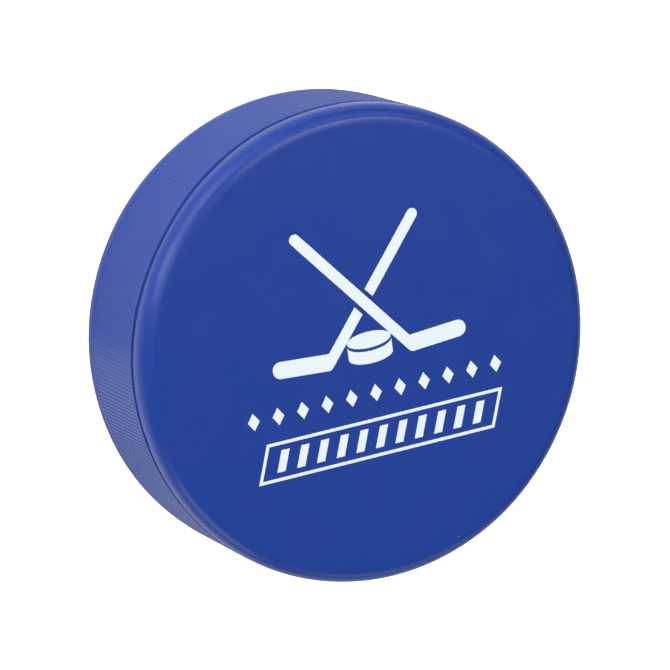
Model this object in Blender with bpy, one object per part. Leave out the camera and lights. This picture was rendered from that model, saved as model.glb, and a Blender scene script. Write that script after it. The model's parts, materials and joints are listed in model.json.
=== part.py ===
"""Foam hockey puck: a foam core in a three-part moulded skin, with a pad-printed front face.

The puck lies flat with its back face on z = 0 and its printed front face up. Z is its turning
axis, and the print's baseline runs along X. Sizes are in millimetres, and MM makes them metres.
"""

import math

import bpy
from mathutils import Vector

MM = 0.001

# Moulding: the rim's ring is the widest, and the two face caps are alike
BAND_RADIUS = 38.1
CAP_RADIUS = 38.0
THICKNESS = 25.4
EDGE_RADIUS = 2.5
CAP_DEPTH = 3.7
GROOVE_WIDTH = 0.8
GROOVE_RADIUS = 37.5
BAND_CHAMFER = 0.15
SKIN = 1.5
INNER_CORNER = 1.0
GAP = 0.3
TURN_STEPS = 96
FILLET_STEPS = 6
CORNER_STEPS = 3

# Ink: thin films just above the front face
INK_GAP = 0.05
INK_THICKNESS = 0.1
ROUND_STEPS = 8

# Two crossed sticks. The heel's x is measured from the print's upright centre line
STICK_LENGTH = 29.0
STICK_WIDTH = 1.8
STICK_LEAN = math.radians(40.0)
STICK_HEEL_X = 8.0
STICK_HEEL_Y = -2.2
HEEL_ROUND = 0.9
BLADE_LENGTH = 8.8
BLADE_HEIGHT = 2.7
BLADE_RISE = math.radians(4.0)
CROSSING_CLEARANCE = 0.7

# A small puck between the blades: its top, and its side below a thin gap
ICON_Y = 1.2
ICON_HALF_WIDTH = 3.8
ICON_HALF_HEIGHT = 1.3
ICON_GAP = 0.5
ICON_SIDE = 2.0

# A row of diamonds, and a slanted panel of stripes under it
DIAMOND_COUNT = 11
DIAMOND_PITCH = 4.2
DIAMOND_WIDTH = 2.0
DIAMOND_HEIGHT = 2.8
DIAMOND_Y = -7.4
PANEL_WIDTH = 41.0
PANEL_HEIGHT = 6.2
PANEL_Y = -14.5
PANEL_LINE = 0.5
PANEL_SLANT = math.tan(math.radians(20.0))
STRIPE_COUNT = 11
STRIPE_PITCH = 3.4
STRIPE_WIDTH = 1.4
STRIPE_HEIGHT = 3.4


def clear_scene():
    for old in list(bpy.data.objects):
        bpy.data.objects.remove(old, do_unlink=True)


def principled(name, colour, roughness):
    """A plain non-metallic material from a linear colour and a roughness."""
    material = bpy.data.materials.new(name)
    material.use_nodes = True
    shader = material.node_tree.nodes["Principled BSDF"]
    shader.inputs["Base Color"].default_value = (*colour, 1.0)
    shader.inputs["Roughness"].default_value = roughness
    shader.inputs["Metallic"].default_value = 0.0
    return material


def smooth_skin_material():
    return principled("smooth_skin", (0.021, 0.056, 0.306), 0.45)


def knurled_skin_material():
    return principled("knurled_skin", (0.028, 0.066, 0.300), 0.55)


def foam_material():
    return principled("foam", (0.060, 0.110, 0.380), 0.90)


def ink_material():
    return principled("ink", (0.880, 0.890, 0.900), 0.40)


def add_object(name, mesh, material):
    mesh.materials.append(material)
    piece = bpy.data.objects.new(name, mesh)
    bpy.context.scene.collection.objects.link(piece)
    return piece


def arc(centre, radii, start, end, steps):
    """Points on an ellipse about centre, from the start angle to the end angle in degrees."""
    points = []
    for step in range(steps + 1):
        angle = math.radians(start + (end - start) * step / steps)
        offset = Vector((radii[0] * math.cos(angle), radii[1] * math.sin(angle)))
        points.append(Vector(centre) + offset)
    return points


def turned(name, outline, material, closed=False):
    """A solid of revolution. The (radius, height) outline runs down the outer side."""
    points = [(radius * MM, 0.0, height * MM) for radius, height in outline]
    edges = [(i, i + 1) for i in range(len(points) - 1)]
    if closed:
        edges.append((len(points) - 1, 0))
    mesh = bpy.data.meshes.new(name)
    mesh.from_pydata(points, edges, [])
    piece = add_object(name, mesh, material)
    screw = piece.modifiers.new("turn", "SCREW")
    screw.steps = TURN_STEPS
    screw.render_steps = TURN_STEPS
    screw.use_merge_vertices = True
    screw.merge_threshold = 0.01 * MM
    screw.use_smooth_shade = True
    piece.location.z = THICKNESS / 2 * MM
    return piece


def cap_outline():
    """A face cap above the puck's middle plane: a dish with a round edge, its mouth down."""
    top = THICKNESS / 2
    lip = top - CAP_DEPTH
    inner_radius = CAP_RADIUS - SKIN
    inner_top = top - SKIN
    edge_centre = (CAP_RADIUS - EDGE_RADIUS, top - EDGE_RADIUS)
    corner_centre = (inner_radius - INNER_CORNER, inner_top - INNER_CORNER)
    outline = [(0.0, top)]
    outline += arc(edge_centre, (EDGE_RADIUS, EDGE_RADIUS), 90, 0, FILLET_STEPS)
    outline += [(CAP_RADIUS, lip), (inner_radius, lip)]
    outline += arc(corner_centre, (INNER_CORNER, INNER_CORNER), 0, 90, CORNER_STEPS)
    outline += [(0.0, inner_top)]
    return outline


def front_skin(material):
    return turned("front_skin", cap_outline(), material)


def back_skin(material):
    """The same moulding as the front skin, turned over."""
    piece = turned("back_skin", cap_outline(), material)
    piece.rotation_euler.x = math.pi
    return piece


def rim_band(material):
    """The rim's ring. A narrow tongue at its front end is the floor of the parting groove. Its
    back end narrows to the back skin's radius and leaves only a seam there."""
    crest = THICKNESS / 2 - CAP_DEPTH - GROOVE_WIDTH
    tongue = crest + GROOVE_WIDTH - GAP
    inner_radius = CAP_RADIUS - SKIN
    outline = [
        (inner_radius, tongue),
        (GROOVE_RADIUS, tongue),
        (GROOVE_RADIUS, crest),
        (BAND_RADIUS - BAND_CHAMFER, crest),
        (BAND_RADIUS, crest - BAND_CHAMFER),
        (BAND_RADIUS, -crest),
        (CAP_RADIUS, -tongue),
        (inner_radius, -tongue),
    ]
    return turned("rim_band", outline, material, closed=True)


def foam_core(material):
    """The block of foam, clear of the skins on every side."""
    radius = CAP_RADIUS - SKIN - GAP
    top = THICKNESS / 2 - SKIN - GAP
    centre_radius = radius - INNER_CORNER
    centre_height = top - INNER_CORNER
    rounding = (INNER_CORNER, INNER_CORNER)
    outline = [(0.0, top)]
    outline += arc((centre_radius, centre_height), rounding, 90, 0, CORNER_STEPS)
    outline += arc((centre_radius, -centre_height), rounding, 0, -90, CORNER_STEPS)
    outline += [(0.0, -top)]
    return turned("foam_core", outline, material)


def printed(name, outline, material, hole=None):
    """A film of ink. The outline runs anticlockwise, and a hole has as many points as it."""
    points = [(x * MM, y * MM, 0.0) for x, y in outline + (hole or [])]
    count = len(outline)
    faces = [tuple(range(count))]
    if hole:
        faces = [(i, (i + 1) % count, count + (i + 1) % count, count + i) for i in range(count)]
    mesh = bpy.data.meshes.new(name)
    mesh.from_pydata(points, [], faces)
    piece = add_object(name, mesh, material)
    film = piece.modifiers.new("film", "SOLIDIFY")
    film.thickness = INK_THICKNESS * MM
    film.offset = 1.0
    piece.location.z = (THICKNESS + INK_GAP) * MM
    return piece


def meet(point_a, way_a, point_b, way_b):
    """Where the line through point_a along way_a crosses the line through point_b along way_b."""
    along = (point_b - point_a).cross(way_b) / way_a.cross(way_b)
    return point_a + way_a * along


def rounded_corner(corner, way_in, way_out, radius):
    """An arc in place of a left-hand corner between an edge along way_in and one along way_out."""
    half_turn = way_in.angle(way_out) / 2
    setback = radius * math.tan(half_turn)
    centre = corner - way_in * setback + Vector((-way_in.y, way_in.x)) * radius
    start = math.degrees(math.atan2(-way_in.x, way_in.y))
    return arc(centre, (radius, radius), start, start + math.degrees(half_turn * 2), ROUND_STEPS)


class Stick:
    """A stick on its heel, blade to the right and shaft leaning left: its edges and its corners."""

    def __init__(self):
        self.heel = Vector((STICK_HEEL_X, STICK_HEEL_Y))
        self.shaft = Vector((-math.sin(STICK_LEAN), math.cos(STICK_LEAN)))
        self.blade = Vector((math.cos(BLADE_RISE), math.sin(BLADE_RISE)))
        across = Vector((math.cos(STICK_LEAN), math.sin(STICK_LEAN))) * STICK_WIDTH / 2
        self.inner_edge = self.heel + across
        self.outer_edge = self.heel - across

    def foot(self):
        """Round heel, lower edge, round toe, and the corner where the blade joins the shaft."""
        up = Vector((-self.blade.y, self.blade.x))
        corner = meet(self.outer_edge, self.shaft, self.heel, self.blade)
        toe_radius = BLADE_HEIGHT / 2
        toe = self.heel + self.blade * (BLADE_LENGTH - toe_radius) + up * toe_radius
        tilt = math.degrees(BLADE_RISE)
        points = rounded_corner(corner, -self.shaft, self.blade, HEEL_ROUND)
        points += arc(toe, (toe_radius, toe_radius), tilt - 90, tilt + 90, ROUND_STEPS)
        points.append(meet(self.inner_edge, self.shaft, self.heel + up * BLADE_HEIGHT, self.blade))
        return points

    def butt(self):
        """The shaft's round upper end, from its inner edge to its outer edge."""
        radius = STICK_WIDTH / 2
        centre = self.heel + self.shaft * (STICK_LENGTH - radius)
        start = math.degrees(STICK_LEAN)
        return arc(centre, (radius, radius), start, start + 180, ROUND_STEPS)

    def cut(self, side):
        """The shaft's outer and inner edge points, this side of the other stick's clear strip."""
        crossing = self.heel + self.shaft * (STICK_HEEL_X / math.sin(STICK_LEAN))
        other_shaft = Vector((math.sin(STICK_LEAN), math.cos(STICK_LEAN)))
        other_across = Vector((math.cos(STICK_LEAN), -math.sin(STICK_LEAN)))
        line = crossing + other_across * side * (STICK_WIDTH / 2 + CROSSING_CLEARANCE)
        outer = meet(self.outer_edge, self.shaft, line, other_shaft)
        inner = meet(self.inner_edge, self.shaft, line, other_shaft)
        return outer, inner


def mirrored(points):
    return [(-x, y) for x, y in reversed(points)]


def printed_sticks(material):
    """One whole stick, and the other in two parts that stop short of it."""
    stick = Stick()
    low_outer, low_inner = stick.cut(1)
    high_outer, high_inner = stick.cut(-1)
    printed("print_stick_over", stick.foot() + stick.butt(), material)
    printed("print_stick_blade", mirrored(stick.foot() + [low_inner, low_outer]), material)
    printed("print_stick_handle", mirrored(stick.butt() + [high_outer, high_inner]), material)


def printed_icon(material):
    """The small puck: an oval top, and the part of its side that shows under it."""
    radii = (ICON_HALF_WIDTH, ICON_HALF_HEIGHT)
    top = arc((0.0, ICON_Y), radii, 0, 360, 3 * ROUND_STEPS)
    side_top = ICON_Y - ICON_GAP
    side = arc((0.0, side_top - ICON_SIDE), radii, 180, 360, 2 * ROUND_STEPS)
    side += arc((0.0, side_top), radii, 0, -180, 2 * ROUND_STEPS)
    printed("print_icon_top", top[:-1], material)
    printed("print_icon_side", side, material)


def printed_diamonds(material):
    """A row of diamonds, centred on the print."""
    for i in range(DIAMOND_COUNT):
        x = (i - (DIAMOND_COUNT - 1) / 2) * DIAMOND_PITCH
        outline = arc((x, DIAMOND_Y), (DIAMOND_WIDTH / 2, DIAMOND_HEIGHT / 2), 0, 270, 3)
        printed(f"print_diamond_{i + 1:02d}", outline, material)


def slanted_box(centre_x, width, height):
    """An anticlockwise four-cornered outline about the panel's middle height, leaning right."""
    lean = PANEL_SLANT * height / 2
    low = PANEL_Y - height / 2
    high = PANEL_Y + height / 2
    left = centre_x - width / 2
    right = centre_x + width / 2
    return [(left - lean, low), (right - lean, low), (right + lean, high), (left + lean, high)]


def printed_panel(material):
    """The slanted frame, with its stripes inside."""
    inset = 2 * PANEL_LINE
    side_inset = inset * math.hypot(1.0, PANEL_SLANT)
    outer = slanted_box(0.0, PANEL_WIDTH, PANEL_HEIGHT)
    hole = slanted_box(0.0, PANEL_WIDTH - side_inset, PANEL_HEIGHT - inset)
    printed("print_panel_frame", outer, material, hole)
    for i in range(STRIPE_COUNT):
        x = (i - (STRIPE_COUNT - 1) / 2) * STRIPE_PITCH
        outline = slanted_box(x, STRIPE_WIDTH, STRIPE_HEIGHT)
        printed(f"print_stripe_{i + 1:02d}", outline, material)


def main():
    clear_scene()
    smooth_skin = smooth_skin_material()
    ink = ink_material()
    foam_core(foam_material())
    back_skin(smooth_skin)
    rim_band(knurled_skin_material())
    front_skin(smooth_skin)
    printed_sticks(ink)
    printed_icon(ink)
    printed_diamonds(ink)
    printed_panel(ink)


main()
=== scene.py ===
"""Foam hockey puck: fine skins, a knurled rim and a printed face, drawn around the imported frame.

The frame gives the puck's sizes. It lies flat, with the printed face up, Z as its turning axis
and the print's baseline along X. Lengths are in metres, and MM turns millimetres into them.
"""

import json
import math

import bpy
import numpy as np
from bpy.props import FloatProperty, FloatVectorProperty, IntProperty, PointerProperty
from mathutils import Matrix, Vector

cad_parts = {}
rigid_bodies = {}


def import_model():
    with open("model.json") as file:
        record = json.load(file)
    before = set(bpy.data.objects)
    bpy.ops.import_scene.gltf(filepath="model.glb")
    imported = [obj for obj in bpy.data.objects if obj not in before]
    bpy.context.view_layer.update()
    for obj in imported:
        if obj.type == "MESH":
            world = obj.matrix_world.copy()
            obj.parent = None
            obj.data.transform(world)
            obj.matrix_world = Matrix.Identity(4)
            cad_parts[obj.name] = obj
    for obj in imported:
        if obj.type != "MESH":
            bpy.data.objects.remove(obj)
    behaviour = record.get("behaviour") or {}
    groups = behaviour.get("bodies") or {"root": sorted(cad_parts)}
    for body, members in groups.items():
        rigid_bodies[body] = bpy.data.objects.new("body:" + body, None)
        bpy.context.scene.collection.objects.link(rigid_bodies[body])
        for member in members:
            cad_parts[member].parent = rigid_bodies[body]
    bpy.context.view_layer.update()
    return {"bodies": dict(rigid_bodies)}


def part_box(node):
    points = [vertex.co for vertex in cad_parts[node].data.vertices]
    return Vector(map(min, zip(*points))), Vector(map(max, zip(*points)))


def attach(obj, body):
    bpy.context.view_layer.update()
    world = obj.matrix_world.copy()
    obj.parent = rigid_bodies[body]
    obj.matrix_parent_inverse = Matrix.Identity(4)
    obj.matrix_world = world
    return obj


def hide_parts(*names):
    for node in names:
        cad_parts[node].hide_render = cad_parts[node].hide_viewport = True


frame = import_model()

bl_info = {
    "name": "Foam hockey puck",
    "version": (1, 0, 0),
    "blender": (4, 5, 0),
    "location": "3D View > Sidebar > Puck",
    "description": "Builds a soft foam puck with a knurled rim and a printed face",
    "category": "Add Mesh",
}

MM = 0.001
FRONT_LOW, FRONT_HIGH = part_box("front_skin")
BAND_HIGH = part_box("rim_band")[1]
BODY = next(iter(frame["bodies"]))


def linear(hex_colour):
    """The linear colour, with alpha 1, of an sRGB hex value."""
    channels = [int(hex_colour[i : i + 2], 16) / 255 for i in (1, 3, 5)]
    curve = [c / 12.92 if c <= 0.04045 else ((c + 0.055) / 1.055) ** 2.4 for c in channels]
    return (*curve, 1.0)


def length(name, description, millimetres):
    """A length property, with its default in millimetres."""
    return FloatProperty(
        name=name, description=description, default=millimetres * MM, min=0.0,
        precision=5, subtype="DISTANCE", unit="LENGTH",
    )


def slope(name, description, degrees):
    """An angle property, with its default in degrees."""
    return FloatProperty(
        name=name, description=description, default=math.radians(degrees), subtype="ANGLE"
    )


def colour(name, description, hex_colour):
    """A colour property, with its default as an sRGB hex value."""
    return FloatVectorProperty(
        name=name, description=description, default=linear(hex_colour), size=4,
        min=0.0, max=1.0, subtype="COLOR",
    )


class PuckMoulding(bpy.types.PropertyGroup):
    """Sizes of the moulded skins."""

    thickness: length("Thickness", "From the back face to the front face", FRONT_HIGH.z / MM)
    cap_radius: length(
        "Cap radius", "Outer radius of the two face caps", BAND_HIGH.x / MM - 0.06
    )
    band_radius: length("Band radius", "Radius over the knurl's ribs", BAND_HIGH.x / MM)
    cap_depth: length(
        "Cap depth", "From a face to the lip of its cap", (FRONT_HIGH.z - FRONT_LOW.z) / MM
    )
    groove_width: length("Groove width", "Width of the parting groove", 0.95)
    groove_depth: length("Groove depth", "Depth of the parting groove below the ribs", 0.62)
    skin: length("Skin", "Thickness of the moulded skin", 1.5)
    crease_radius: length("Crease", "Radius of the crease that starts the rounded edge", 0.5)
    edge_radius: length("Edge radius", "Radius of the rounded edge", 2.65)
    crease_start: slope("Crease start", "The face's slope where the crease begins", 7.0)
    crease_end: slope("Crease end", "The face's slope where the crease ends", 16.0)
    edge_end: slope("Edge end", "Slope where the rounded edge meets the side", 86.0)
    rib_count: IntProperty(
        name="Ribs", description="Ribs around the rim, an even number", default=360, min=40
    )
    row_count: IntProperty(
        name="Rows", description="Rows of bumps across the rim", default=21, min=4
    )
    rib_depth: length("Rib depth", "From a rib's crest to the valley beside it", 0.22)
    border: length("Border", "Smooth strip between the knurl and the groove or seam", 0.35)


class PuckPrint(bpy.types.PropertyGroup):
    """Sizes of the printed design on the front face."""

    film: length("Ink film", "Thickness of the dried ink", 0.025)
    stick_length: length("Stick length", "From the heel to the butt of a stick", 29.0)
    stick_width: length("Stick width", "Width of a stick's shaft", 1.8)
    stick_lean: slope("Stick lean", "Lean of a shaft from upright", 40.0)
    heel_x: length("Heel from centre", "From the print's centre line to a heel", 8.0)
    heel_drop: length("Heel drop", "From the puck's centre down to a heel", 2.2)
    blade_length: length("Blade length", "From the heel to the toe", 8.8)
    blade_height: length("Blade height", "Height of a blade", 2.7)
    blade_rise: slope("Blade rise", "Rise of a blade towards its toe", 4.0)
    clearance: length("Crossing gap", "Gap where one stick passes over the other", 0.7)
    icon_width: length("Small puck width", "Width of the small printed puck", 7.6)
    icon_height: length("Small puck top", "Height of the small puck's oval top", 2.6)
    diamond_pitch: length("Diamond pitch", "Spacing of the row of diamonds", 4.2)
    diamond_drop: length("Diamond drop", "From the puck's centre down to the diamonds", 7.4)
    panel_width: length("Panel width", "Width of the slanted panel", 41.0)
    panel_height: length("Panel height", "Height of the slanted panel", 6.2)
    panel_drop: length("Panel drop", "From the puck's centre down to the panel", 14.5)
    panel_slant: slope("Panel slant", "Lean of the panel's ends and stripes", 20.0)


class PuckFinish(bpy.types.PropertyGroup):
    """Colours of the puck and of the stage."""

    skin: colour("Skin", "Satin blue of the moulded skin", "#1E3F97")
    # Pale skin: pinhole specks, thin ink, rubbed wear on the knurl and a painted sheen there
    pale_skin_and_sheen: colour("Pale skin and painted sheen", "Pale skin for specks, thin ink, rubbed wear and a painted sheen", "#7C88B8")
    foam: colour("Foam", "Bare foam inside the skin", "#6F8AC8")
    ink: colour("Ink", "White pad-printing ink", "#EDF9FF")
    floor: colour("Floor", "Opal sheet that the puck lies on", "#FFFFFF")


# Mesh making


def add_mesh(name, points, faces, material, smooth=True):
    """A new mesh object at the origin, from an array of points and lists of face corners."""
    mesh = bpy.data.meshes.new(name)
    mesh.from_pydata(points, [], faces)
    mesh.polygons.foreach_set("use_smooth", np.full(len(mesh.polygons), smooth))
    mesh.materials.append(material)
    piece = bpy.data.objects.new(name, mesh)
    bpy.context.scene.collection.objects.link(piece)
    return piece


def ring_points(radii, heights, angles):
    """Points of a turned grid: every profile point carried round Z by every angle.

    radii and heights are (profile, angle) arrays, so that a profile may vary round the puck.
    """
    across = np.cos(angles)[None, :]
    along = np.sin(angles)[None, :]
    grid = np.stack([radii * across, radii * along, heights + 0.0 * across], axis=-1)
    return grid.reshape(-1, 3)


def grid_faces(rows, columns, closed_profile):
    """Quads between neighbouring profile rows, facing out where the profile runs down outside."""
    row = np.arange(rows if closed_profile else rows - 1)[:, None]
    column = np.arange(columns)[None, :]
    below = (row + 1) % rows
    beside = (column + 1) % columns
    corners = [
        row * columns + column,
        below * columns + column,
        below * columns + beside,
        row * columns + beside,
    ]
    return np.stack([c + 0 * (row + column) for c in corners], axis=-1).reshape(-1, 4)


def whole_turn(columns):
    return np.arange(columns) * 2 * np.pi / columns


def tangent_arcs(start_radius, start_height, arcs):
    """A profile of arcs that run on into each other, down and outwards from a level start.

    An arc of radius R between slopes a and b goes R (sin b - sin a) outwards and
    R (cos a - cos b) down. arcs is a list of (arc radius, end slope, steps).
    """
    radii = [np.array([start_radius])]
    heights = [np.array([start_height])]
    slope_now = 0.0
    for arc_radius, end_slope, steps in arcs:
        slopes = np.linspace(slope_now, end_slope, steps + 1)[1:]
        out = arc_radius * (np.sin(slopes) - math.sin(slope_now))
        down = arc_radius * (math.cos(slope_now) - np.cos(slopes))
        radii.append(radii[-1][-1] + out)
        heights.append(heights[-1][-1] - down)
        slope_now = end_slope
    return np.concatenate(radii), np.concatenate(heights)


def fade(value, low, high):
    """0 below low, 1 above high, and 3t^2 - 2t^3 between them."""
    t = np.clip((value - low) / (high - low), 0.0, 1.0)
    return t * t * (3 - 2 * t)


def bump_at(angles, centre, width):
    """A bell curve round the puck: 1 at centre and e^-1 at width from it, both in degrees."""
    away = (np.degrees(angles) - centre + 180) % 360 - 180
    return np.exp(-((away / width) ** 2))


# The places, in degrees round Z, where the halves of the mould's ring met
STEP_AT = 87.5
STEP_SPAN = 1.4
STEP_FADE = 60.0
STEP_SIZE = 0.32 * MM
NOTCH_AT = 191.0
NOTCH_WIDTH = 1.1
NOTCH_SIZE = 0.38 * MM


# How the groove leaves the plane that it should keep to: sizes, and places in degrees round Z
GROOVE_BACK = 0.25 * MM
GROOVE_FORWARD_AT = 143.0
GROOVE_FORWARD_WIDTH = 20.0
GROOVE_FORWARD = 0.85 * MM
GROOVE_FURTHER_AT = 212.0
GROOVE_FURTHER_WIDTH = 25.0
GROOVE_FURTHER = 0.15 * MM
GROOVE_RIPPLE = 0.02 * MM


def groove_drift(angles):
    """How far the whole parting groove lies behind its usual place.

    The halves of the mould don't quite agree. The groove lies a little back, runs forward in one
    place and further back in another, and has a fine ripple.
    """
    forward = GROOVE_FORWARD * bump_at(angles, GROOVE_FORWARD_AT, GROOVE_FORWARD_WIDTH)
    further = GROOVE_FURTHER * bump_at(angles, GROOVE_FURTHER_AT, GROOVE_FURTHER_WIDTH)
    ripple = GROOVE_RIPPLE * (np.sin(5 * angles + 0.9) + 0.75 * np.sin(23 * angles))
    return GROOVE_BACK + further - forward + ripple


def lip_drop(angles):
    """How far the cap's lip lies behind its usual place.

    It follows the groove, steps down on one side of where the mould's ring was split, fades out
    a third of a turn on, and draws back in a small notch at the other split.
    """
    behind = (STEP_AT - np.degrees(angles)) % 360
    step = fade(behind, 0.0, STEP_SPAN) * (1 - fade(behind, 120.0, 120.0 + STEP_FADE))
    notch = bump_at(angles, NOTCH_AT, NOTCH_WIDTH)
    return groove_drift(angles) + STEP_SIZE * step - NOTCH_SIZE * notch


CAP_COLUMNS = 720
GROOVE_LIP_ROUND = 0.12 * MM
SEAM_LIP_ROUND = 0.05 * MM
REBATE_DEPTH = 3.1 * MM
ROLL_RADIUS = 9.0 * MM
SIDE_RADIUS = 9.0 * MM
INNER_CORNER = 1.0 * MM
MOVES_BELOW = 1.5 * MM
SWELL = 0.03 * MM
RIM_SWELL = 0.3


def cap_profile(sizes):
    """The cap's outer profile below its own face: a level face, a soft roll, a crease, the round
    edge and a nearly upright side. Returns radii and depths below the face."""
    arcs = [
        (ROLL_RADIUS, sizes.crease_start, 8),
        (sizes.crease_radius, sizes.crease_end, 5),
        (sizes.edge_radius, sizes.edge_end, 20),
        (SIDE_RADIUS, math.pi / 2, 4),
    ]
    radii, heights = tangent_arcs(0.0, 0.0, arcs)
    flat_radius = sizes.cap_radius - radii[-1]
    return radii + flat_radius, -heights


def cap_surface(sizes, lip_round, lip_moves):
    """A closed dish: the outer profile, a rounded lip, a rebate for the rim's tongue, and an
    inner wall one skin inside it.

    The lip moves by lip_moves, a function of the angles, and the side above it by a share of
    that which fades out halfway up. Returns the angles, and (profile, angle) radii and depths
    below the cap's face.
    """
    angles = whole_turn(CAP_COLUMNS)
    outer, depth = cap_profile(sizes)
    face = np.array([0.3, 0.6, 0.85]) * outer[0]
    quarter = np.linspace(0.0, math.pi / 2, 4)
    lip = sizes.cap_radius - lip_round * (1 - np.cos(quarter))
    lip_depth = sizes.cap_depth - lip_round * (1 - np.sin(quarter))
    tongue = sizes.band_radius - sizes.groove_depth
    wall = sizes.cap_radius - sizes.skin
    corner = INNER_CORNER
    inside = [tongue, tongue, wall, wall, wall - 0.3 * corner, wall - corner, 0.5 * wall]
    roof = sizes.skin
    inside_depth = [sizes.cap_depth, REBATE_DEPTH, REBATE_DEPTH, roof + corner]
    inside_depth += [roof + 0.3 * corner, roof, roof]
    radii = np.concatenate([face, outer, lip, inside])
    depths = np.concatenate([0 * face, depth, lip_depth, inside_depth])
    shares = fade(depths, MOVES_BELOW, sizes.cap_depth - lip_round)
    shares[len(radii) - len(inside) + 1 :] = 0.0
    depth_grid = depths[:, None] + shares[:, None] * lip_moves(angles)[None, :]
    wave = fade(radii, outer[0], sizes.cap_radius)[:, None] * swell(angles)[None, :]
    return angles, radii[:, None] + wave, depth_grid


def swell(angles):
    """The slight unevenness of moulded foam: a few hundredths of a millimetre, in slow waves."""
    waves = np.sin(2 * angles + 1.0) + 0.8 * np.sin(5 * angles + 0.3) + 0.5 * np.sin(11 * angles)
    return SWELL * waves


def capped_faces(rows, columns):
    """Faces of a turned grid with a pole point at each end, numbered after the grid's points."""
    faces = grid_faces(rows, columns, closed_profile=False).tolist()
    here = np.arange(columns)
    beside = (here + 1) % columns
    first_pole = np.full(columns, rows * columns)
    last_pole = first_pole + 1
    last_row = (rows - 1) * columns
    faces += np.stack([first_pole, here, beside], axis=-1).tolist()
    faces += np.stack([last_row + here, last_pole, last_row + beside], axis=-1).tolist()
    return faces


def cap_piece(name, sizes, material, is_front):
    """One face cap. The front one's lip is wavy and borders a groove, the back one's is plain."""
    side = 1.0 if is_front else -1.0
    lip_round = GROOVE_LIP_ROUND if is_front else SEAM_LIP_ROUND
    angles, radii, depths = cap_surface(sizes, lip_round, lip_drop if is_front else np.zeros_like)
    face_height = sizes.thickness if is_front else 0.0
    points = ring_points(radii, face_height - side * depths, angles)
    poles = [(0.0, 0.0, face_height), (0.0, 0.0, face_height - side * sizes.skin)]
    faces = capped_faces(len(radii), len(angles))
    if not is_front:
        faces = [face[::-1] for face in faces]
    return add_mesh(name, np.concatenate([points, poles]), faces, material)


# The knurled rim

SAMPLES_PER_RIB = 4
SAMPLES_PER_ROW = 3
BURR_AT = 159.5
BURR_WIDTH = 0.7
BURR_SIZE = 0.15 * MM
LEAST_BORDER = 0.15 * MM
BORDER_ROUND = 0.08 * MM
END_FADE = 0.035
SEAM_STRIP = 0.25 * MM

# Where the knurl is sharp, rubbed and painted with a sheen, and where it is faint, in degrees
# round Z
SHARP_WEAR_SHEEN_AT = 202.0
SHARP_WIDTH = 32.0
SHARP_SHARE = 0.5
FAINT_AT = 115.0
FAINT_WIDTH = 40.0
FAINT_SHARE = 0.2
USUAL_SHARE = 0.5


def knurl_height(rib_phase, row_phase):
    """Height of the knurl from 0 to 1: upright ribs, each with a line of short bumps along it.

    The phases count ribs and rows. A rib is the square root of a raised cosine, which rounds its
    crest and narrows its valley. A bump is the product of half-turn cosines of both phases, so
    that the bumps of neighbouring ribs are staggered. The rib counts for 0.7, the bump for 0.3.
    """
    rib = np.sqrt(0.5 + 0.5 * np.cos(2 * np.pi * rib_phase))
    bump = 0.5 + 0.5 * np.cos(np.pi * rib_phase) * np.cos(np.pi * row_phase)
    return rib * (0.7 + 0.3 * bump)


def knurl_strength(angles):
    """How much of its depth the knurl has: the foam filled one side of the mould better."""
    sharp = SHARP_SHARE * bump_at(angles, SHARP_WEAR_SHEEN_AT, SHARP_WIDTH)
    faint = FAINT_SHARE * bump_at(angles, FAINT_AT, FAINT_WIDTH)
    return USUAL_SHARE + sharp - faint


def knurl_grid(sizes, columns, rows):
    """(row, angle) radii and heights of the rim's outer strip, from its front row back.

    The ribs' crests are level with the borders at both ends, and the valleys are cut into them.
    The front row draws back where the groove would reach it.
    """
    angles = whole_turn(columns)
    across = np.linspace(1.0, -1.0, rows)[:, None]
    back = sizes.cap_depth + sizes.border
    retreat = np.maximum(0.0, groove_drift(angles) - sizes.border + LEAST_BORDER)[None, :]
    front = sizes.thickness - back - sizes.groove_width - retreat
    heights = (front + back) / 2 + across * (front - back) / 2
    rib_phase = (np.arange(columns) / SAMPLES_PER_RIB)[None, :]
    row_phase = across * sizes.row_count / 2
    ends = fade(1 - np.abs(across), 0.0, END_FADE)
    cut = (1 - knurl_height(rib_phase, row_phase)) * ends * knurl_strength(angles)[None, :]
    radii = sizes.band_radius - sizes.rib_depth * cut + RIM_SWELL * swell(angles)[None, :]
    return angles, radii, heights


def rim_front_side(sizes, angles):
    """(profile, angle) radii and heights from the knurl's front end round to the inner wall.

    A border level with the ribs' crests, a rounded corner, the groove's wall, and the tongue
    that is its floor. The corner and the wall follow the wandering groove.
    """
    middle = sizes.thickness / 2
    crest = middle - sizes.cap_depth - sizes.groove_width
    tongue = sizes.band_radius - sizes.groove_depth
    wall = sizes.cap_radius - sizes.skin
    quarter = np.linspace(0.0, math.pi / 2, 4)
    corner = BORDER_ROUND
    outer = sizes.band_radius - corner * (1 - np.cos(quarter))
    radii = np.concatenate([outer, [tongue, tongue, wall]])
    rises = np.concatenate(
        [crest - corner * (1 - np.sin(quarter)), [crest], [middle - REBATE_DEPTH] * 2]
    )
    burr = BURR_SIZE * bump_at(angles, BURR_AT, BURR_WIDTH)
    shares = np.concatenate([np.ones(4), np.zeros(3)])[:, None]
    radius_grid = radii[:, None] + shares * (RIM_SWELL * swell(angles) + burr)[None, :]
    shares = np.concatenate([np.ones(5), np.zeros(2)])[:, None]
    return radius_grid, middle + rises[:, None] - shares * groove_drift(angles)[None, :]


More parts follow.
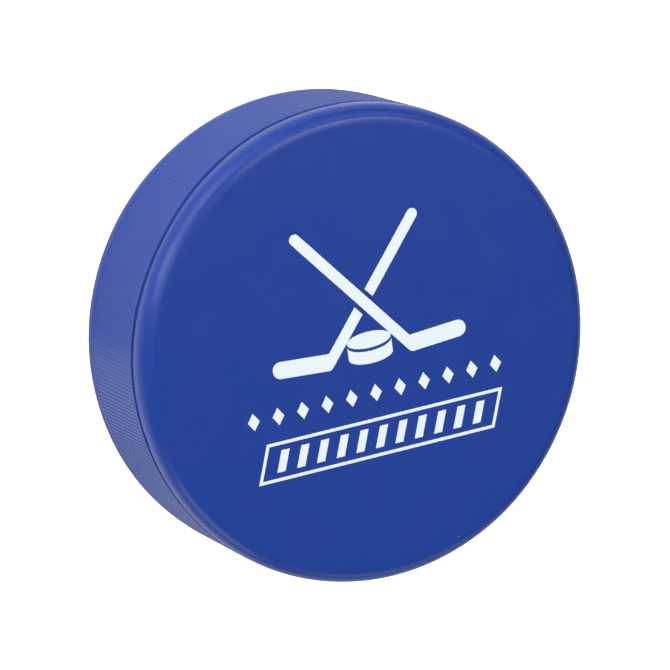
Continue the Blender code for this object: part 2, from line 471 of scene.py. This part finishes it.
def rim_back_side(sizes, angles):
    """(profile, angle) radii and heights from the knurl's back end round to the inner wall: a
    plain strip that narrows to the back cap's radius, where only a fine seam shows."""
    middle = sizes.thickness / 2
    wall = sizes.cap_radius - sizes.skin
    seam = middle - sizes.cap_depth
    edge = SEAM_LIP_ROUND
    radii = np.array([sizes.band_radius, sizes.cap_radius, sizes.cap_radius - edge, wall])
    drops = np.array([SEAM_STRIP, edge, 0.0, 0.0]) - seam
    shares = np.array([RIM_SWELL, 1.0, 1.0, 0.0])[:, None]
    return radii[:, None] + shares * swell(angles)[None, :], middle + drops[:, None] + 0 * angles


def joining_faces(fine_start, coarse_start, columns, fine_above):
    """Seven-sided faces between a coarse ring and one with SAMPLES_PER_RIB times its points."""
    here = np.arange(columns)
    beside = (here + 1) % columns
    fine_columns = columns * SAMPLES_PER_RIB
    steps = here[:, None] * SAMPLES_PER_RIB + np.arange(SAMPLES_PER_RIB + 1)[None, :]
    fine = fine_start + steps % fine_columns
    coarse = coarse_start + np.stack([here, beside], axis=-1)
    faces = np.concatenate([coarse, fine[:, ::-1]], axis=-1)
    return (faces if fine_above else faces[:, ::-1]).tolist()


def rim_piece(sizes, material):
    """The rim: a finely sampled knurled strip, and a coarser ring behind it that closes it."""
    columns = sizes.rib_count
    fine_columns = columns * SAMPLES_PER_RIB
    rows = sizes.row_count * SAMPLES_PER_ROW + 1
    fine_angles, fine_radii, fine_heights = knurl_grid(sizes, fine_columns, rows)
    strip = ring_points(fine_radii, fine_heights, fine_angles)
    angles = whole_turn(columns)
    below = rim_back_side(sizes, angles)
    above = rim_front_side(sizes, angles)
    radii = np.concatenate([below[0], above[0][::-1]])
    heights = np.concatenate([below[1], above[1][::-1]])
    ring = ring_points(radii, heights, angles)
    faces = grid_faces(rows, fine_columns, closed_profile=False).tolist()
    ring_faces = grid_faces(len(radii), columns, closed_profile=False) + len(strip)
    faces += ring_faces.tolist()
    last_row = (rows - 1) * fine_columns
    last_ring = len(strip) + (len(radii) - 1) * columns
    faces += joining_faces(last_row, len(strip), columns, fine_above=True)
    faces += joining_faces(0, last_ring, columns, fine_above=False)
    return add_mesh("knurled_rim", np.concatenate([strip, ring]), faces, material)


# The foam block

FOAM_COLUMNS = 180
FOAM_GAP = 0.3 * MM
CELL_DEPTH = 0.075 * MM
CELL_WAVES = 47
CELL_RISE = 2400.0


def foam_piece(sizes, material):
    """A turned block with rounded corners, one gap inside the skins, its wall pitted by cells.

    The wall's radius loses CELL_DEPTH times one plus a product of sines of angle and height.
    """
    gap = FOAM_GAP
    corner = INNER_CORNER
    radius = sizes.cap_radius - sizes.skin - gap
    top = sizes.thickness - sizes.skin - gap
    bottom = sizes.skin + gap
    quarter = np.linspace(0.0, math.pi / 2, 6)
    wall = np.linspace(top - corner, bottom + corner, 24)[1:-1]
    flat = np.array([0.35, 0.7, 0.95]) * (radius - corner)
    round_radii = radius - corner + corner * np.sin(quarter)
    round_drop = corner * (1 - np.cos(quarter))
    radii = np.concatenate([flat, round_radii, 0 * wall + radius, round_radii[::-1], flat[::-1]])
    heights = np.concatenate(
        [0 * flat + top, top - round_drop, wall, bottom + round_drop[::-1], 0 * flat + bottom]
    )
    angles = whole_turn(FOAM_COLUMNS)
    cells = np.sin(CELL_WAVES * angles)[None, :] * np.sin(heights * CELL_RISE)[:, None]
    radius_grid = radii[:, None] - CELL_DEPTH * (1 + cells)
    points = ring_points(radius_grid, heights[:, None] + 0 * cells, angles)
    poles = [(0.0, 0.0, top), (0.0, 0.0, bottom)]
    faces = capped_faces(len(radii), FOAM_COLUMNS)
    return add_mesh("foam_block", np.concatenate([points, poles]), faces, material)


# The print. An outline is an anticlockwise array of complex numbers, x + iy, in metres

EDGE_SPACING = 0.25 * MM
EDGE_WOBBLE = 0.02 * MM
INK_GAP = 0.004 * MM
ROUND_STEPS = 24


def arc(centre, radii, start, end):
    """Points on an upright ellipse about centre, between two angles."""
    angles = np.linspace(start, end, ROUND_STEPS + 1)
    return centre + radii[0] * np.cos(angles) + 1j * radii[1] * np.sin(angles)


def cross(way_a, way_b):
    return (np.conj(way_a) * way_b).imag


def meet(point_a, way_a, point_b, way_b):
    """Where the line through point_a along way_a crosses the line through point_b along way_b."""
    return point_a + way_a * cross(point_b - point_a, way_b) / cross(way_a, way_b)


def rounded_corner(corner, way_in, way_out, radius):
    """An arc in place of a left-hand corner between an edge along way_in and one along way_out."""
    turn = np.angle(way_out / way_in)
    centre = corner - way_in * radius * math.tan(turn / 2) + 1j * way_in * radius
    start = np.angle(-1j * way_in)
    return arc(centre, (radius, radius), start, start + turn)


def mirrored(outline):
    """The outline on the other side of the print's upright centre line."""
    return -np.conj(outline)[::-1]


def side_counts(outline):
    """How many steps each side of an outline is divided into."""
    return np.maximum(1, np.round(abs(np.roll(outline, -1) - outline) / EDGE_SPACING)).astype(int)


def finer(outline, counts):
    """The outline with each side divided into equal steps."""
    side = np.repeat(np.roll(outline, -1) - outline, counts)
    step = np.arange(counts.sum()) - np.repeat(np.cumsum(counts) - counts, counts)
    return np.repeat(outline, counts) + side * step / np.repeat(counts, counts)


def wobbled(outline):
    """The outline as a soft rubber pad lays it down: moved by waves of 0.7 to 2 mm in x and y."""
    x = outline.real / MM
    y = outline.imag / MM
    east = np.sin(5.1 * x + 3.7 * y) + np.sin(8.3 * y - 2.9 * x + 1.0)
    north = np.sin(4.3 * y - 5.9 * x + 2.0) + np.sin(7.7 * x + 4.1 * y)
    return outline + EDGE_WOBBLE * (east + 1j * north) / 2


def film(name, outline, sizes, design, material, hole=None):
    """A closed film of ink on the front face, from one outline, or between it and a hole."""
    counts = side_counts(outline)
    given = [np.asarray(loop) for loop in (outline, hole) if loop is not None]
    loops = [wobbled(finer(loop, counts)) for loop in given]
    flat = np.concatenate(loops)
    total = len(flat)
    count = counts.sum()
    low = sizes.thickness + INK_GAP
    level = np.repeat([low, low + design.film], total)
    points = np.stack([np.tile(flat.real, 2), np.tile(flat.imag, 2), level], axis=-1)
    here = np.arange(count)
    beside = (here + 1) % count
    wall = np.stack([here, beside, beside + total, here + total], axis=-1)
    if hole is None:
        faces = [(here + total).tolist(), here[::-1].tolist()] + wall.tolist()
    else:
        top = np.stack([here, beside, beside + count, here + count], axis=-1)
        faces = np.concatenate([wall, wall[:, ::-1] + count, top + total, top[:, ::-1]]).tolist()
    return add_mesh(name, points, faces, material, smooth=False)


HEEL_ROUND = 0.9 * MM


def stick_outlines(design):
    """The right-hand stick, whole, and the left-hand one in the two parts that show under it.

    Each is a foot, from heel to toe and back to the shaft, and a round butt, joined by a shaft.
    """
    width = design.stick_width
    lean = design.stick_lean
    heel = complex(design.heel_x, -design.heel_drop)
    across = np.exp(1j * lean)
    shaft = 1j * across
    blade = np.exp(1j * design.blade_rise)
    half_blade = design.blade_height / 2
    inner = heel + across * width / 2
    outer = heel - across * width / 2
    toe = heel + blade * (design.blade_length - half_blade) + 1j * blade * half_blade
    toe_start = design.blade_rise - math.pi / 2
    throat = meet(inner, shaft, heel + 1j * blade * design.blade_height, blade)
    heel_round = rounded_corner(meet(outer, shaft, heel, blade), -shaft, blade, HEEL_ROUND)
    toe_round = arc(toe, (half_blade, half_blade), toe_start, toe_start + math.pi)
    foot = np.concatenate([heel_round, toe_round, [throat]])
    butt_centre = heel + shaft * (design.stick_length - width / 2)
    butt = arc(butt_centre, (width / 2, width / 2), lean, lean + math.pi)
    crossing = heel + shaft * design.heel_x / math.sin(lean)
    cuts = []
    for side in (1, -1):
        line = crossing + side * np.conj(across) * (width / 2 + design.clearance)
        cuts.append([meet(edge, shaft, line, -np.conj(shaft)) for edge in (outer, inner)])
    low, high = cuts
    return {
        "ink_stick_over": np.concatenate([foot, butt]),
        "ink_stick_blade": mirrored(np.concatenate([foot, low[::-1]])),
        "ink_stick_handle": mirrored(np.concatenate([butt, high])),
    }


def slanted_box(centre, width, height, slant):
    """A parallelogram with level top and bottom, and ends that lean by the slant."""
    lean = height / 2 * math.tan(slant)
    low = centre - lean - 0.5j * height
    high = centre + lean + 0.5j * height
    return np.array([low - width / 2, low + width / 2, high + width / 2, high - width / 2])


# Materials

SMOOTH_ROUGHNESS = 0.27
SMOOTH_IOR = 1.36
KNURL_ROUGHNESS = 0.45
KNURL_IOR = 1.28
CREST_LOW = 0.06 * MM
CREST_HIGH = 0.18 * MM

# How far towards the knurl's sharp side the rubbed wear and painted sheen on the crests start and
# are full, and their shares of pale skin there
WEAR_SHEEN_STARTS = 31.5 * MM
WEAR_SHEEN_FULL = 36.8 * MM
LEAST_WEAR_SHEEN = 0.02
MOST_WEAR_SHEEN = 0.55


def add_node(tree, kind, inputs=(), **settings):
    """A node with its settings, and each input set to a value or joined to another's output."""
    node = tree.nodes.new(kind)
    for name, value in settings.items():
        setattr(node, name, value)
    for name, value in dict(inputs).items():
        if isinstance(value, bpy.types.NodeSocket):
            tree.links.new(value, node.inputs[name])
        else:
            node.inputs[name].default_value = value
    return node


def new_material(name, roughness, ior):
    """A material, its node tree, its shader and the object coordinates that patterns read."""
    material = bpy.data.materials.new(name)
    material.use_nodes = True
    tree = material.node_tree
    shader = tree.nodes["Principled BSDF"]
    shader.inputs["Roughness"].default_value = roughness
    shader.inputs["IOR"].default_value = ior
    place = add_node(tree, "ShaderNodeTexCoord").outputs["Object"]
    return material, tree, shader, place


def skin_material(name, finish, roughness, ior, knurl_valley=None):
    """Polyurethane foam moulded against a matt steel tool, which leaves a thin satin skin.

    The tool's fine blasting gives soft highlights, and the skin's own colour varies a little.
    A few pinholes of the foam show as pale specks. The knurl is blasted coarser and looks more
    matt. Handling has rubbed its crests pale, and a painted sheen makes them paler still,
    most of all on the side where the knurl is sharpest.
    """
    material, tree, shader, place = new_material(name, roughness, ior)
    cloud = add_node(tree, "ShaderNodeTexNoise", {"Vector": place, "Scale": 160.0, "Detail": 4.0})
    tint = add_node(
        tree, "ShaderNodeMapRange",
        {"Value": cloud.outputs["Fac"], "From Min": 0.3, "From Max": 0.7, "To Max": 0.015},
    )
    # One cell in about thirty has a speck, 0.25 mm across
    cells = add_node(tree, "ShaderNodeTexVoronoi", {"Vector": place, "Scale": 180.0})
    near = add_node(
        tree, "ShaderNodeMapRange",
        {"Value": cells.outputs["Distance"], "From Min": 0.028, "From Max": 0.016},
    )
    chosen = add_node(
        tree, "ShaderNodeMapRange",
        {"Value": cells.outputs["Color"], "From Min": 0.70, "From Max": 0.72, "To Max": 0.8},
    )
    speck = add_node(
        tree, "ShaderNodeMath", {0: near.outputs[0], 1: chosen.outputs[0]}, operation="MULTIPLY"
    )
    pale = add_node(
        tree, "ShaderNodeMath", {0: speck.outputs[0], 1: tint.outputs[0]}, operation="ADD"
    )
    share = pale.outputs[0]
    # Paler crests on the knurl: rubbed wear, with a painted sheen that grows towards its sharp
    # side
    if knurl_valley is not None:
        level = add_node(
            tree, "ShaderNodeVectorMath", {0: place, 1: (1.0, 1.0, 0.0)}, operation="MULTIPLY"
        )
        from_axis = add_node(
            tree, "ShaderNodeVectorMath", {0: level.outputs[0]}, operation="LENGTH"
        )
        crest = add_node(
            tree, "ShaderNodeMapRange",
            {"Value": from_axis.outputs["Value"], "From Min": knurl_valley + CREST_LOW,
             "From Max": knurl_valley + CREST_HIGH},
        )
        way = math.radians(SHARP_WEAR_SHEEN_AT)
        towards = add_node(
            tree, "ShaderNodeVectorMath", {0: place, 1: (math.cos(way), math.sin(way), 0.0)},
            operation="DOT_PRODUCT",
        )
        wear_and_sheen = add_node(
            tree, "ShaderNodeMapRange",
            {"Value": towards.outputs["Value"], "From Min": WEAR_SHEEN_STARTS, "From Max": WEAR_SHEEN_FULL,
             "To Min": LEAST_WEAR_SHEEN, "To Max": MOST_WEAR_SHEEN},
        )
        both = add_node(
            tree, "ShaderNodeMath", {0: crest.outputs[0], 1: wear_and_sheen.outputs[0], 2: share},
            operation="MULTIPLY_ADD",
        )
        share = both.outputs[0]
    mix = add_node(
        tree, "ShaderNodeMix", {"Factor": share}, data_type="RGBA", blend_type="MIX"
    )
    mix.inputs["A"].default_value = finish.skin
    mix.inputs["B"].default_value = finish.pale_skin_and_sheen
    tree.links.new(mix.outputs["Result"], shader.inputs["Base Color"])
    # The tool's blasting is about 0.05 mm fine, drawn 0.3 mm coarse so that a render can hold it
    grain = add_node(tree, "ShaderNodeTexNoise", {"Vector": place, "Scale": 3200.0, "Detail": 2.0})
    bump = add_node(
        tree, "ShaderNodeBump",
        {"Height": grain.outputs["Fac"], "Strength": 0.25, "Distance": 0.02 * MM},
    )
    tree.links.new(bump.outputs["Normal"], shader.inputs["Normal"])
    return material


def foam_material(finish):
    """Bare polyurethane foam: open cells with thin walls, matt, with painted shade down in the
    cells.
    """
    material, tree, shader, place = new_material("open_polyurethane_foam", 0.92, 1.45)
    cells = add_node(tree, "ShaderNodeTexVoronoi", {"Vector": place, "Scale": 1700.0})
    # Painted shade: the colour darkens to the skin's blue down in each cell, where the bump is
    # lowest
    painted_cell_shade = add_node(
        tree, "ShaderNodeMix", {"Factor": cells.outputs["Distance"]}, data_type="RGBA"
    )
    painted_cell_shade.inputs["A"].default_value = finish.skin
    painted_cell_shade.inputs["B"].default_value = finish.foam
    tree.links.new(painted_cell_shade.outputs["Result"], shader.inputs["Base Color"])
    bump = add_node(
        tree, "ShaderNodeBump",
        {"Height": cells.outputs["Distance"], "Strength": 0.8, "Distance": 0.2 * MM},
    )
    tree.links.new(bump.outputs["Normal"], shader.inputs["Normal"])
    return material


def ink_material(finish):
    """White pad-printing ink: a thin flexible film, slightly glossier than the skin.

    It is thinner in places, where a little of the blue under it shows through.
    """
    material, tree, shader, place = new_material("white_pad_printing_ink", 0.35, 1.5)
    cover = add_node(tree, "ShaderNodeTexNoise", {"Vector": place, "Scale": 900.0, "Detail": 3.0})
    thin = add_node(
        tree, "ShaderNodeMapRange",
        {"Value": cover.outputs["Fac"], "From Min": 0.55, "From Max": 0.8, "To Max": 0.10},
    )
    mix = add_node(tree, "ShaderNodeMix", {"Factor": thin.outputs[0]}, data_type="RGBA")
    mix.inputs["A"].default_value = finish.ink
    mix.inputs["B"].default_value = finish.pale_skin_and_sheen
    tree.links.new(mix.outputs["Result"], shader.inputs["Base Color"])
    bump = add_node(
        tree, "ShaderNodeBump",
        {"Height": cover.outputs["Fac"], "Strength": 0.3, "Distance": 0.02 * MM},
    )
    tree.links.new(bump.outputs["Normal"], shader.inputs["Normal"])
    return material


def floor_material(finish):
    """Opal acrylic sheet. It glows white towards the camera, and otherwise is a plain white sheet
    that sends some of the lamps' light back up, so that no shadow darkens the white."""
    material, tree, shader, place = new_material("opal_acrylic_sheet", 0.6, 1.49)
    shader.inputs["Base Color"].default_value = finish.floor
    shader.inputs["Emission Color"].default_value = finish.floor
    seen = add_node(tree, "ShaderNodeLightPath").outputs["Is Camera Ray"]
    glow = add_node(tree, "ShaderNodeMath", {0: seen, 1: FLOOR_GLOW}, operation="MULTIPLY")
    tree.links.new(glow.outputs[0], shader.inputs["Emission Strength"])
    return material


# The stage. Directions run from the puck towards a lamp or the camera

FLOOR_GLOW = 1.0
BACKDROP_GLOW = 1.2
WORLD_GLOW = 0.18
LAMP_DISTANCE = 1.2

# Softboxes: name, azimuth and elevation in degrees, width and height in metres,
# power in watts
LAMPS = (
    ("left", 147.0, 30.0, 0.40, 0.90, 5.4),
    ("back_left", 120.0, 28.0, 0.40, 0.90, 4.0),
    ("back", 95.0, 30.0, 0.40, 0.90, 1.5),
    ("over_left", 147.0, 65.0, 0.40, 0.40, 1.2),
    ("over_back", 75.0, 62.0, 0.25, 0.25, 0.8),
    ("over_right", 25.0, 67.0, 0.30, 0.30, 3.2),
    ("near_left", 240.0, 20.0, 0.70, 0.50, 2.6),
    ("near", 290.0, 20.0, 0.70, 0.50, 1.4),
    ("right", 55.0, 40.0, 0.60, 0.50, 1.3),
)

CAMERA_AT = (-242.0 * MM, 151.5 * MM, 600.0 * MM)
CAMERA_AIM = (-0.3 * MM, -0.1 * MM, 12.7 * MM)
CAMERA_ROLL = 111.5
CAMERA_LENS = 221.0
SENSOR_WIDTH = 36.0


def add_lamp(name, azimuth, elevation, width, height, power):
    """A rectangular softbox that faces the puck, in a direction from it."""
    light = bpy.data.lights.new(name, "AREA")
    light.shape = "RECTANGLE"
    light.size = width
    light.size_y = height
    light.energy = power
    lamp = bpy.data.objects.new(name, light)
    level = math.cos(math.radians(elevation))
    way = Vector((
        level * math.cos(math.radians(azimuth)), level * math.sin(math.radians(azimuth)),
        math.sin(math.radians(elevation)),
    ))
    lamp.location = way * LAMP_DISTANCE
    lamp.rotation_euler = way.to_track_quat("Z", "Y").to_euler()
    bpy.context.scene.collection.objects.link(lamp)
    return lamp


def add_camera():
    """The camera: aimed just beside the puck's middle, and rolled about its line of sight."""
    lens = bpy.data.cameras.new("camera")
    lens.lens = CAMERA_LENS
    lens.sensor_width = SENSOR_WIDTH
    camera = bpy.data.objects.new("camera", lens)
    way = Vector(CAMERA_AT) - Vector(CAMERA_AIM)
    level = way.to_track_quat("Z", "Y").to_matrix()
    roll = Matrix.Rotation(math.radians(CAMERA_ROLL), 3, "Z")
    camera.matrix_world = Matrix.Translation(CAMERA_AT) @ (level @ roll).to_4x4()
    bpy.context.scene.collection.objects.link(camera)
    bpy.context.scene.camera = camera


def add_world():
    """A dim grey room round the table, behind a white backdrop that only the camera sees."""
    world = bpy.data.worlds.new("room")
    world.use_nodes = True
    tree = world.node_tree
    seen = add_node(tree, "ShaderNodeLightPath").outputs["Is Camera Ray"]
    glow = add_node(
        tree, "ShaderNodeMapRange",
        {"Value": seen, "To Min": WORLD_GLOW, "To Max": BACKDROP_GLOW},
    )
    background = tree.nodes["Background"]
    background.inputs["Color"].default_value = (1.0, 1.0, 1.0, 1.0)
    tree.links.new(glow.outputs[0], background.inputs["Strength"])
    bpy.context.scene.world = world


def placed(piece, slot, *nodes):
    """The piece rides the puck's body and stands for CAD nodes, which it hides. The slot is not
    used.
    """
    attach(piece, BODY)
    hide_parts(*nodes)
    return piece


# Operators


class PUCK_OT_front_cap(bpy.types.Operator):
    """Add the moulded front skin"""

    bl_idname = "puck.front_cap"
    bl_label = "Front cap"

    def execute(self, context):
        finish = context.scene.puck_finish
        material = skin_material("satin_moulded_skin", finish, SMOOTH_ROUGHNESS, SMOOTH_IOR)
        piece = cap_piece("front_cap", context.scene.puck_moulding, material, is_front=True)
        placed(piece, "smooth_skin", "front_skin")
        return {"FINISHED"}


class PUCK_OT_back_cap(bpy.types.Operator):
    """Add the moulded back skin, the front one turned over but with a plain lip"""

    bl_idname = "puck.back_cap"
    bl_label = "Back cap"

    def execute(self, context):
        finish = context.scene.puck_finish
        material = skin_material("satin_moulded_skin", finish, SMOOTH_ROUGHNESS, SMOOTH_IOR)
        piece = cap_piece("back_cap", context.scene.puck_moulding, material, is_front=False)
        placed(piece, "smooth_skin", "back_skin")
        return {"FINISHED"}


class PUCK_OT_rim(bpy.types.Operator):
    """Add the knurled rim"""

    bl_idname = "puck.rim"
    bl_label = "Knurled rim"

    def execute(self, context):
        sizes = context.scene.puck_moulding
        valley = sizes.band_radius - sizes.rib_depth
        finish = context.scene.puck_finish
        material = skin_material(
            "knurled_moulded_skin", finish, KNURL_ROUGHNESS, KNURL_IOR, valley
        )
        placed(rim_piece(sizes, material), "knurled_skin", "rim_band")
        return {"FINISHED"}


class PUCK_OT_foam(bpy.types.Operator):
    """Add the block of foam inside the skins"""

    bl_idname = "puck.foam"
    bl_label = "Foam block"

    def execute(self, context):
        material = foam_material(context.scene.puck_finish)
        piece = foam_piece(context.scene.puck_moulding, material)
        placed(piece, "foam", "foam_core")
        return {"FINISHED"}


class PUCK_OT_sticks(bpy.types.Operator):
    """Print two crossed sticks"""

    bl_idname = "puck.print_sticks"
    bl_label = "Crossed sticks"

    def execute(self, context):
        scene = context.scene
        material = ink_material(scene.puck_finish)
        for name, outline in stick_outlines(scene.puck_print).items():
            piece = film(name, outline, scene.puck_moulding, scene.puck_print, material)
            placed(piece, "ink", name.replace("ink", "print"))
        return {"FINISHED"}


class PUCK_OT_small_puck(bpy.types.Operator):
    """Print the small puck between the sticks' blades"""

    bl_idname = "puck.print_small_puck"
    bl_label = "Small puck"

    def execute(self, context):
        scene = context.scene
        design = scene.puck_print
        material = ink_material(scene.puck_finish)
        radii = (design.icon_width / 2, design.icon_height / 2)
        top = 1j * ICON_TOP
        edge = top - 1j * ICON_GAP
        side = arc(edge - 1j * ICON_SIDE, radii, math.pi, 2 * math.pi)
        outlines = {
            "ink_icon_top": arc(top, radii, 0.0, 2 * math.pi)[:-1],
            "ink_icon_side": np.concatenate([side, arc(edge, radii, 0.0, -math.pi)]),
        }
        for name, outline in outlines.items():
            piece = film(name, outline, scene.puck_moulding, design, material)
            placed(piece, "ink", name.replace("ink", "print"))
        return {"FINISHED"}


class PUCK_OT_diamonds(bpy.types.Operator):
    """Print the row of diamonds"""

    bl_idname = "puck.print_diamonds"
    bl_label = "Diamonds"

    def execute(self, context):
        scene = context.scene
        design = scene.puck_print
        material = ink_material(scene.puck_finish)
        corners = np.array([
            -1j * DIAMOND_HALF_HEIGHT, DIAMOND_HALF_WIDTH,
            1j * DIAMOND_HALF_HEIGHT, -DIAMOND_HALF_WIDTH,
        ])
        for number in range(DIAMOND_COUNT):
            x = (number - (DIAMOND_COUNT - 1) / 2) * design.diamond_pitch
            centre = complex(x, -design.diamond_drop)
            piece = film(
                f"ink_diamond_{number + 1:02d}", centre + corners, scene.puck_moulding, design,
                material,
            )
            placed(piece, "ink", f"print_diamond_{number + 1:02d}")
        return {"FINISHED"}


class PUCK_OT_panel(bpy.types.Operator):
    """Print the slanted panel and its stripes"""

    bl_idname = "puck.print_panel"
    bl_label = "Striped panel"

    def execute(self, context):
        scene = context.scene
        design = scene.puck_print
        sizes = scene.puck_moulding
        slant = design.panel_slant
        material = ink_material(scene.puck_finish)
        middle = complex(0.0, -design.panel_drop)
        outer = slanted_box(middle, design.panel_width, design.panel_height, slant)
        inner = slanted_box(
            middle, design.panel_width - 2 * PANEL_LINE / math.cos(slant),
            design.panel_height - 2 * PANEL_LINE, slant,
        )
        piece = film("ink_panel_frame", outer, sizes, design, material, hole=inner)
        placed(piece, "ink", "print_panel_frame")
        for number in range(STRIPE_COUNT):
            x = (number - (STRIPE_COUNT - 1) / 2) * STRIPE_PITCH
            outline = slanted_box(middle + x, STRIPE_WIDTH, STRIPE_HEIGHT, slant)
            piece = film(f"ink_stripe_{number + 1:02d}", outline, sizes, design, material)
            placed(piece, "ink", f"print_stripe_{number + 1:02d}")
        return {"FINISHED"}


class PUCK_OT_stage(bpy.types.Operator):
    """Add the floor, the lamps, the room and the camera"""

    bl_idname = "puck.stage"
    bl_label = "Stage"

    def execute(self, context):
        half = FLOOR_HALF
        corners = [(-half, -half, 0.0), (half, -half, 0.0), (half, half, 0.0), (-half, half, 0.0)]
        material = floor_material(context.scene.puck_finish)
        add_mesh("floor", corners, [(0, 1, 2, 3)], material, smooth=False)
        for lamp in LAMPS:
            add_lamp(*lamp)
        add_world()
        add_camera()
        context.scene.view_settings.view_transform = "Standard"
        return {"FINISHED"}


class PUCK_PT_sidebar(bpy.types.Panel):
    """Builds the puck piece by piece"""

    bl_label = "Foam hockey puck"
    bl_idname = "PUCK_PT_sidebar"
    bl_space_type = "VIEW_3D"
    bl_region_type = "UI"
    bl_category = "Puck"

    def draw(self, context):
        column = self.layout.column()
        for operator in OPERATORS:
            column.operator(operator.bl_idname)
        for settings in SETTINGS:
            group = getattr(context.scene, settings)
            box = self.layout.box()
            for name in group.__annotations__:
                box.prop(group, name)


ICON_TOP = 1.2 * MM
ICON_GAP = 0.5 * MM
ICON_SIDE = 2.0 * MM
DIAMOND_COUNT = 11
DIAMOND_HALF_WIDTH = 1.0 * MM
DIAMOND_HALF_HEIGHT = 1.4 * MM
PANEL_LINE = 0.5 * MM
STRIPE_COUNT = 11
STRIPE_PITCH = 3.4 * MM
STRIPE_WIDTH = 1.4 * MM
STRIPE_HEIGHT = 3.4 * MM
FLOOR_HALF = 2.0
SETTINGS = {
    "puck_moulding": PuckMoulding,
    "puck_print": PuckPrint,
    "puck_finish": PuckFinish,
}
OPERATORS = (
    PUCK_OT_front_cap,
    PUCK_OT_back_cap,
    PUCK_OT_rim,
    PUCK_OT_foam,
    PUCK_OT_sticks,
    PUCK_OT_small_puck,
    PUCK_OT_diamonds,
    PUCK_OT_panel,
    PUCK_OT_stage,
)


def register():
    for kind in (*SETTINGS.values(), *OPERATORS, PUCK_PT_sidebar):
        bpy.utils.register_class(kind)
    for name, kind in SETTINGS.items():
        setattr(bpy.types.Scene, name, PointerProperty(type=kind))


def unregister():
    for name in SETTINGS:
        delattr(bpy.types.Scene, name)
    for kind in reversed((*SETTINGS.values(), *OPERATORS, PUCK_PT_sidebar)):
        bpy.utils.unregister_class(kind)


def main():
    register()
    bpy.ops.puck.front_cap()
    bpy.ops.puck.back_cap()
    bpy.ops.puck.rim()
    bpy.ops.puck.foam()
    bpy.ops.puck.print_sticks()
    bpy.ops.puck.print_small_puck()
    bpy.ops.puck.print_diamonds()
    bpy.ops.puck.print_panel()
    bpy.ops.puck.stage()


if __name__ == "__main__":
    main()
